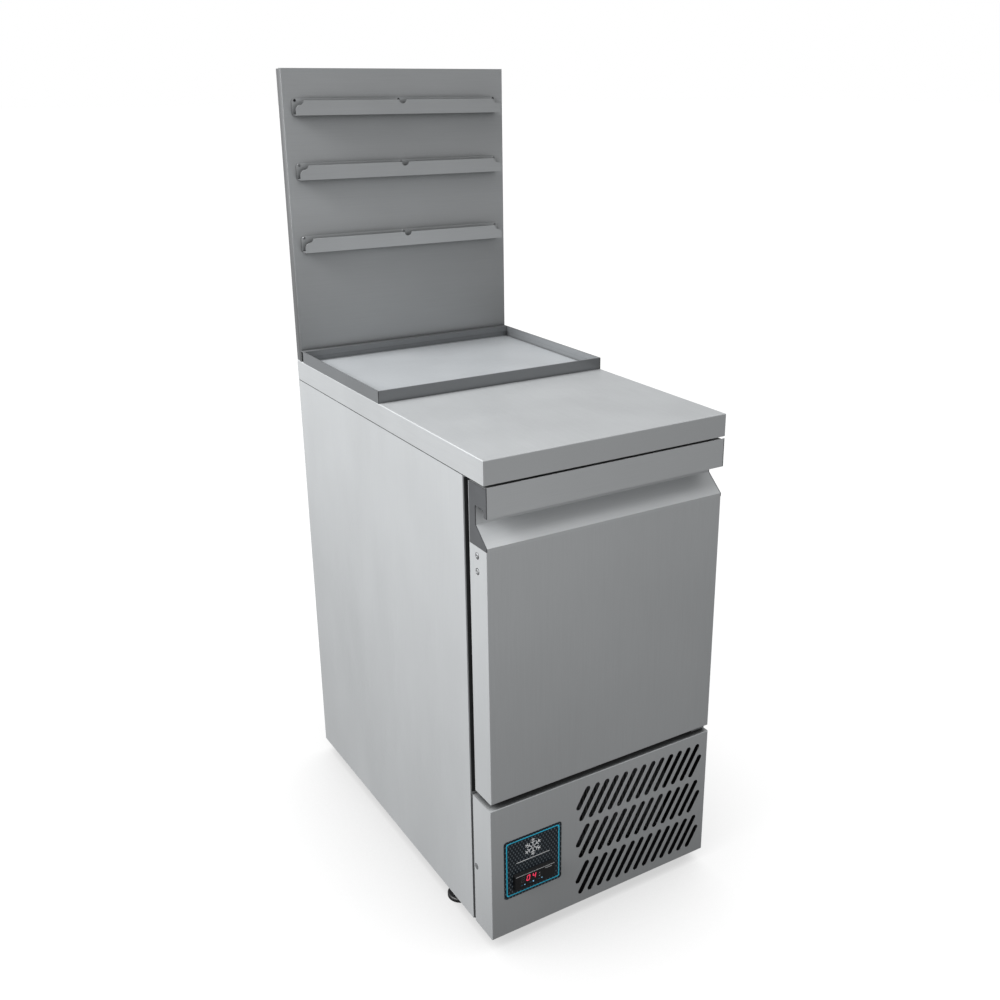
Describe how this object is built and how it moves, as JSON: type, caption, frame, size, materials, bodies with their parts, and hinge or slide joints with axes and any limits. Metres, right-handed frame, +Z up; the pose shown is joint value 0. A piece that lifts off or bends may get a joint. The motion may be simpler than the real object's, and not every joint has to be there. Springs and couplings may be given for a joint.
{
  "type": "undercounter refrigerator",
  "caption": "Narrow refrigerated counter with a recessed-handle door, vented base panel with controller, topping tray and a tall upstand with hooked rails.",
  "frame": {"origin": "on the floor, under the middle of the whole object's bounding box", "axes": "+Z up, +X to the right of someone facing the door, +Y from the door to the back"},
  "size_m": [0.435, 0.716, 1.3465],
  "materials": {
    "stainless": "brushed, satin",
    "dark_stainless": "brushed, satin",
    "grey_plastic": "moulded, fine texture",
    "light_plastic": "smooth moulded",
    "black_plastic": "moulded, fine texture",
    "gasket": "soft matte",
    "foam": "cut foam",
    "board": "raw board",
    "galvanised": "zinc coated",
    "fastener": "plain",
    "wire": "bright wire",
    "fins": "mill finish",
    "black_paint": "semi-gloss",
    "copper": "drawn tube",
    "label": "printed film",
    "display": "smoked window"
  },
  "bodies": {
    "cabinet": {"base_pan": "galvanised", "cabinet_screws": "fastener", "cable_gland": "black_plastic", "compartment_ceiling": "galvanised", "compressor": "black_paint", "compressor_feet": "gasket", "condensate_trays": "black_plastic", "condenser_coil": "fins", "condenser_shroud": "black_plastic", "control_label": "label", "controller_body": "black_plastic", "display_window": "display", "electrical_box": "black_plastic", "evaporator_coil": "fins", "evaporator_cover": "stainless", "fan_guard": "wire", "fan_motors": "fins", "fascia": "stainless", "foam_walls": "foam", "foot_nuts": "galvanised", "front_frame": "light_plastic", "hinge_brackets": "galvanised", "inner_liner": "stainless", "rail_lower": "stainless", "rail_middle": "stainless", "rail_rivets": "fastener", "rail_upper": "stainless", "rear_grille": "galvanised", "rear_panel": "galvanised", "refrigerant_lines": "copper", "shelf_runners": "stainless", "side_panel_left": "stainless", "side_panel_right": "stainless", "temperature_probe": "black_plastic", "tray": "stainless", "upstand_back_cover": "dark_stainless", "upstand_front": "stainless", "upstand_supports": "galvanised", "worktop_core": "board", "worktop_skin": "stainless"},
    "door": {"door_skin": "stainless", "handle_profile": "stainless", "door_foam": "foam", "door_liner": "light_plastic", "door_gasket": "gasket", "handle_end_caps": "grey_plastic", "hinge_bushes": "black_plastic", "hinge_plugs": "black_plastic", "door_screws": "fastener"},
    "controller_button_1": {"button_1": "black_plastic"},
    "controller_button_2": {"button_2": "black_plastic"},
    "controller_button_3": {"button_3": "black_plastic"},
    "condenser_fan": {"condenser_fan_blade": "black_plastic"},
    "evaporator_fan": {"evaporator_fan_blade": "black_plastic"},
    "levelling_foot_front_left": {"foot_front_left": "black_plastic"},
    "levelling_foot_front_right": {"foot_front_right": "black_plastic"},
    "levelling_foot_rear_left": {"foot_rear_left": "black_plastic"},
    "levelling_foot_rear_right": {"foot_rear_right": "black_plastic"},
    "lower_shelf": {"shelf_lower": "wire"},
    "upper_shelf": {"shelf_upper": "wire"}
  },
  "joints": [
    {"name": "door_hinge", "type": "hinge", "parent": "cabinet", "child": "door", "pos_m": [0.203, -0.3266, 0.54], "axis": [0, 0, 1], "range_deg": [0, 110], "stiffness_Nm_per_rad": 0.8, "springref_deg": -22.92},
    {"name": "press_button_1", "type": "slide", "parent": "cabinet", "child": "controller_button_1", "axis": [0, 1, 0], "range_m": [0, 0.0005], "stiffness_N_per_m": 600, "springref_m": -0.001},
    {"name": "press_button_2", "type": "slide", "parent": "cabinet", "child": "controller_button_2", "axis": [0, 1, 0], "range_m": [0, 0.0005], "stiffness_N_per_m": 600, "springref_m": -0.001},
    {"name": "press_button_3", "type": "slide", "parent": "cabinet", "child": "controller_button_3", "axis": [0, 1, 0], "range_m": [0, 0.0005], "stiffness_N_per_m": 600, "springref_m": -0.001},
    {"name": "condenser_fan_spin", "type": "hinge", "parent": "cabinet", "child": "condenser_fan", "pos_m": [0.072, -0.2166, 0.152], "axis": [0, 1, 0], "continuous": true},
    {"name": "evaporator_fan_spin", "type": "hinge", "parent": "cabinet", "child": "evaporator_fan", "pos_m": [0, 0.2554, 0.45], "axis": [0, 1, 0], "continuous": true},
    {"name": "level_foot_front_left", "type": "slide", "parent": "cabinet", "child": "levelling_foot_front_left", "axis": [0, 0, -1], "range_m": [-0.003, 0.015]},
    {"name": "level_foot_front_right", "type": "slide", "parent": "cabinet", "child": "levelling_foot_front_right", "axis": [0, 0, -1], "range_m": [-0.003, 0.015]},
    {"name": "level_foot_rear_left", "type": "slide", "parent": "cabinet", "child": "levelling_foot_rear_left", "axis": [0, 0, -1], "range_m": [-0.003, 0.015]},
    {"name": "level_foot_rear_right", "type": "slide", "parent": "cabinet", "child": "levelling_foot_rear_right", "axis": [0, 0, -1], "range_m": [-0.003, 0.015]},
    {"name": "slide_lower_shelf", "type": "slide", "parent": "cabinet", "child": "lower_shelf", "axis": [0, -1, 0], "range_m": [0, 0.018]},
    {"name": "slide_upper_shelf", "type": "slide", "parent": "cabinet", "child": "upper_shelf", "axis": [0, -1, 0], "range_m": [0, 0.018]}
  ]
}
